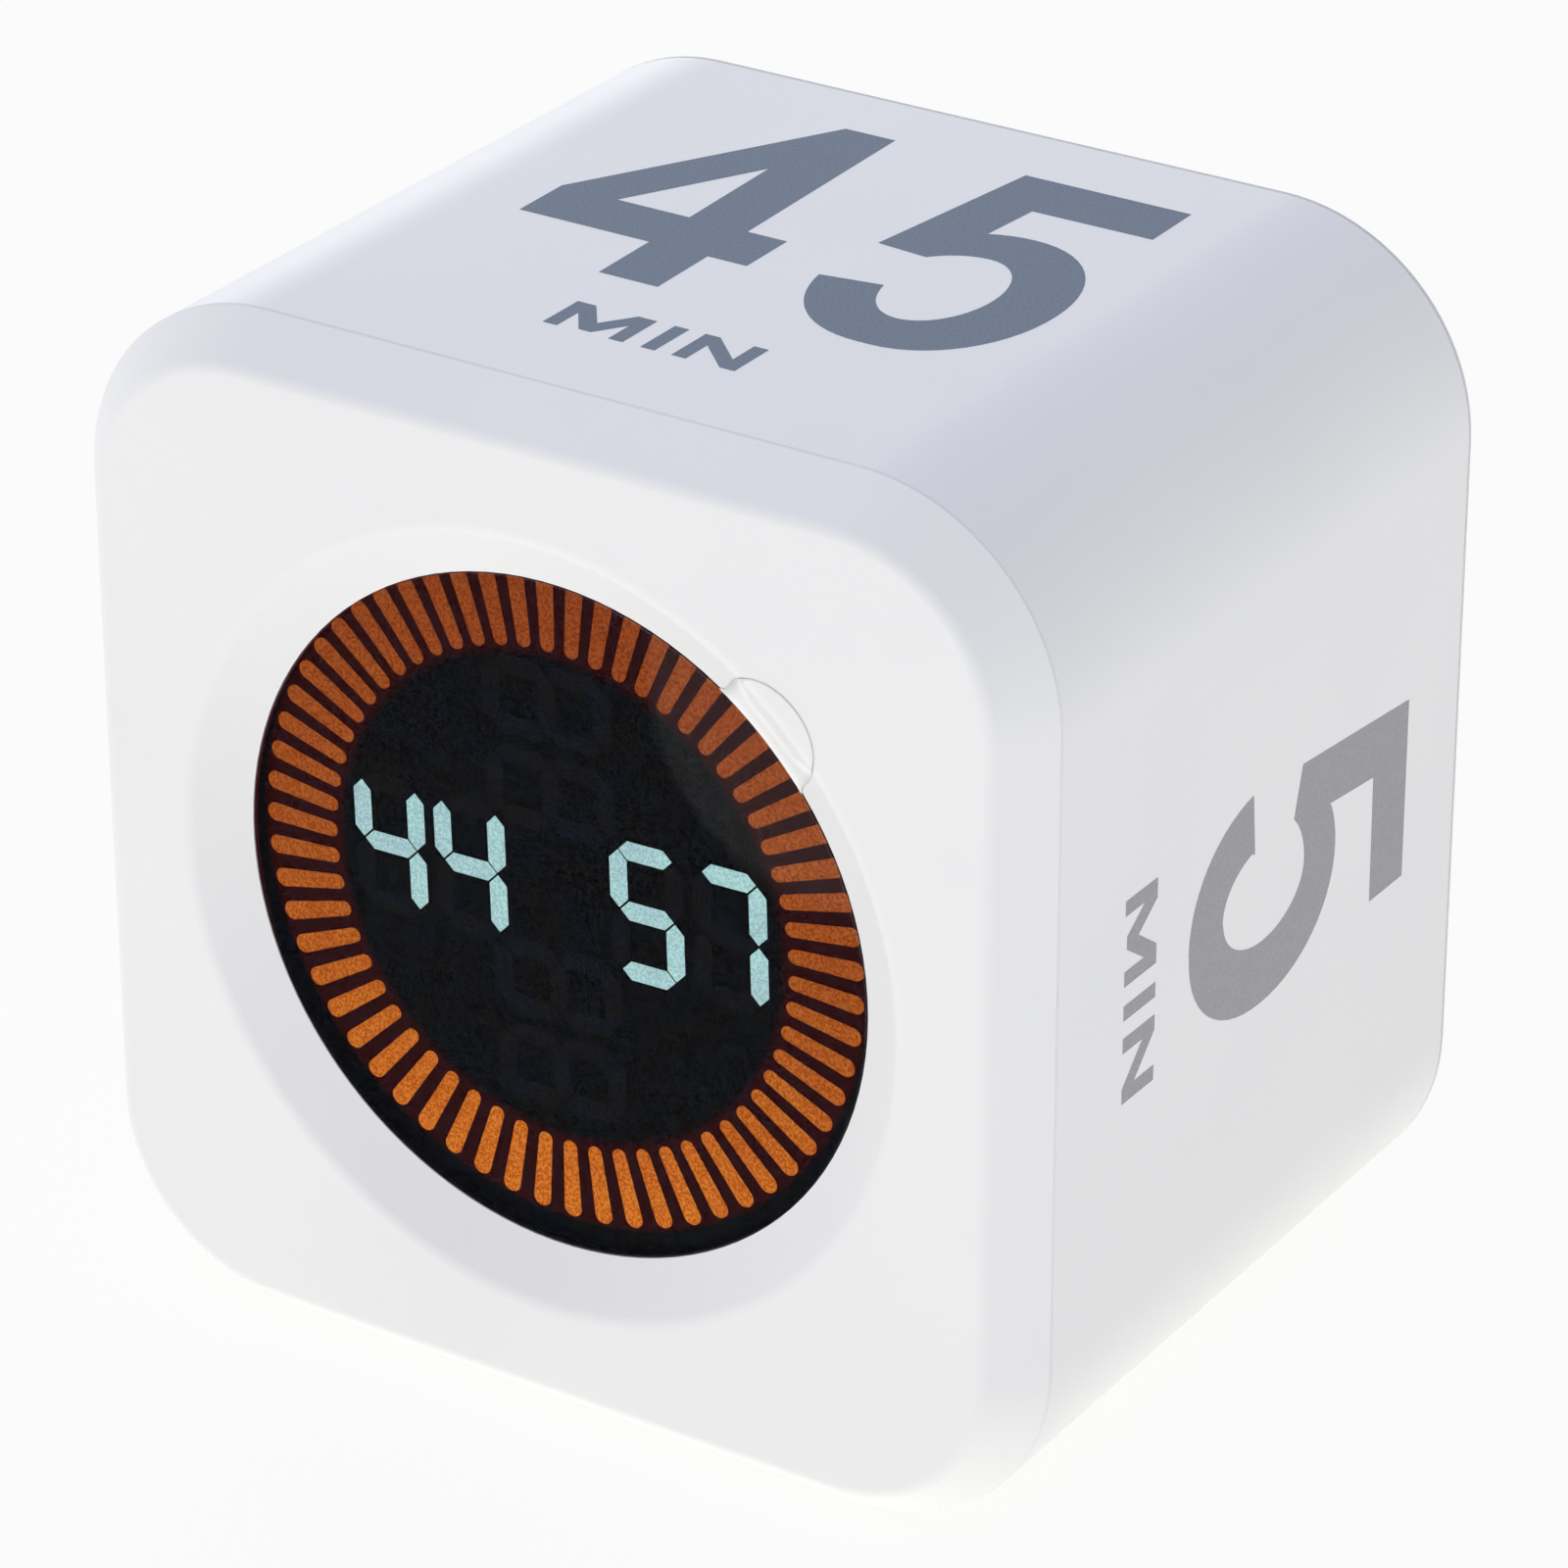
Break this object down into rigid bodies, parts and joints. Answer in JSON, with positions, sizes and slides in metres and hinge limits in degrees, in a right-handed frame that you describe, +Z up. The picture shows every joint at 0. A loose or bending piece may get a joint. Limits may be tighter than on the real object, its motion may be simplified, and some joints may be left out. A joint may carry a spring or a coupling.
{
  "type": "cube timer",
  "caption": "Rounded-square white desk timer with a round backlit display in a conical dish, printed times on its sides, and push buttons, a slide switch and a charging port at the back.",
  "frame": {"origin": "middle of the underside", "axes": "the display faces -Y, +X is to its right as it is read, +Z is up"},
  "size_m": [0.06, 0.0485, 0.06],
  "materials": {
    "white_plastic": "fine matte moulding",
    "button_plastic": "fine matte moulding",
    "clear_window": "clear polished sheet",
    "clear_film": "clear thin film",
    "display_glass": "clear polished sheet",
    "display_black": "black polarised glass",
    "orange_segments": "lit segment",
    "pale_segments": "lit segment",
    "colour_film": "printed film",
    "white_sheet": "white sheet",
    "clear_acrylic": "clear moulding",
    "lamp": "clear lamp body",
    "tray_plastic": "plain moulding",
    "contact_rubber": "soft strip",
    "foam": "black foam",
    "circuit_board": "solder mask",
    "black_plastic": "plain moulding",
    "ivory_plastic": "plain moulding",
    "steel": "bright plated",
    "battery_foil": "laminated foil",
    "wire_sleeve": "insulated wire",
    "ribbon_plastic": "flat cable"
  },
  "bodies": {
    "housing": {"front_bezel": "white_plastic", "sleeve": "white_plastic", "rear_cover": "white_plastic", "rear_cover_screws": "steel", "display_window": "clear_window", "protective_film": "clear_film", "display_gasket": "foam", "lcd_front_glass": "display_glass", "lcd_seal": "display_black", "lcd_bars": "orange_segments", "lcd_digits": "pale_segments", "lcd_rear_glass": "display_black", "colour_film": "colour_film", "diffuser_sheet": "white_sheet", "light_guide": "clear_acrylic", "reflector_sheet": "white_sheet", "backlight_leds": "lamp", "lcd_tray": "tray_plastic", "zebra_strips": "contact_rubber", "main_board": "circuit_board", "main_board_screws": "steel", "controller_chip": "black_plastic", "tilt_sensor": "black_plastic", "clock_crystal": "steel", "vibration_motor": "steel", "battery_socket": "ivory_plastic", "ribbon_socket_front": "ivory_plastic", "battery": "battery_foil", "battery_pad": "foam", "battery_lead": "wire_sleeve", "ribbon_cable": "ribbon_plastic", "rear_board": "circuit_board", "rear_board_screws": "steel", "ribbon_socket_rear": "ivory_plastic", "charger_chip": "black_plastic", "usb_shell": "steel", "usb_tongue": "black_plastic", "buzzer": "black_plastic", "tact_left": "black_plastic", "tact_centre": "black_plastic", "tact_right": "black_plastic", "mode_switch_body": "steel"},
    "minute_key": {"minute_button": "button_plastic", "minute_plunger": "black_plastic"},
    "second_key": {"second_button": "button_plastic", "second_plunger": "black_plastic"},
    "start_key": {"start_button": "button_plastic", "start_plunger": "black_plastic"},
    "mode_slider": {"mode_knob": "button_plastic", "mode_lever": "black_plastic"}
  },
  "joints": [
    {"name": "minute_press", "type": "slide", "parent": "housing", "child": "minute_key", "axis": [0, -1, 0], "range_m": [0, 0.00035], "stiffness_N_per_m": 1500},
    {"name": "second_press", "type": "slide", "parent": "housing", "child": "second_key", "axis": [0, -1, 0], "range_m": [0, 0.00035], "stiffness_N_per_m": 1500},
    {"name": "start_press", "type": "slide", "parent": "housing", "child": "start_key", "axis": [0, -1, 0], "range_m": [0, 0.00035], "stiffness_N_per_m": 1500},
    {"name": "mode_slide", "type": "slide", "parent": "housing", "child": "mode_slider", "axis": [1, 0, 0], "range_m": [-0.0015, 0.0015]}
  ]
}
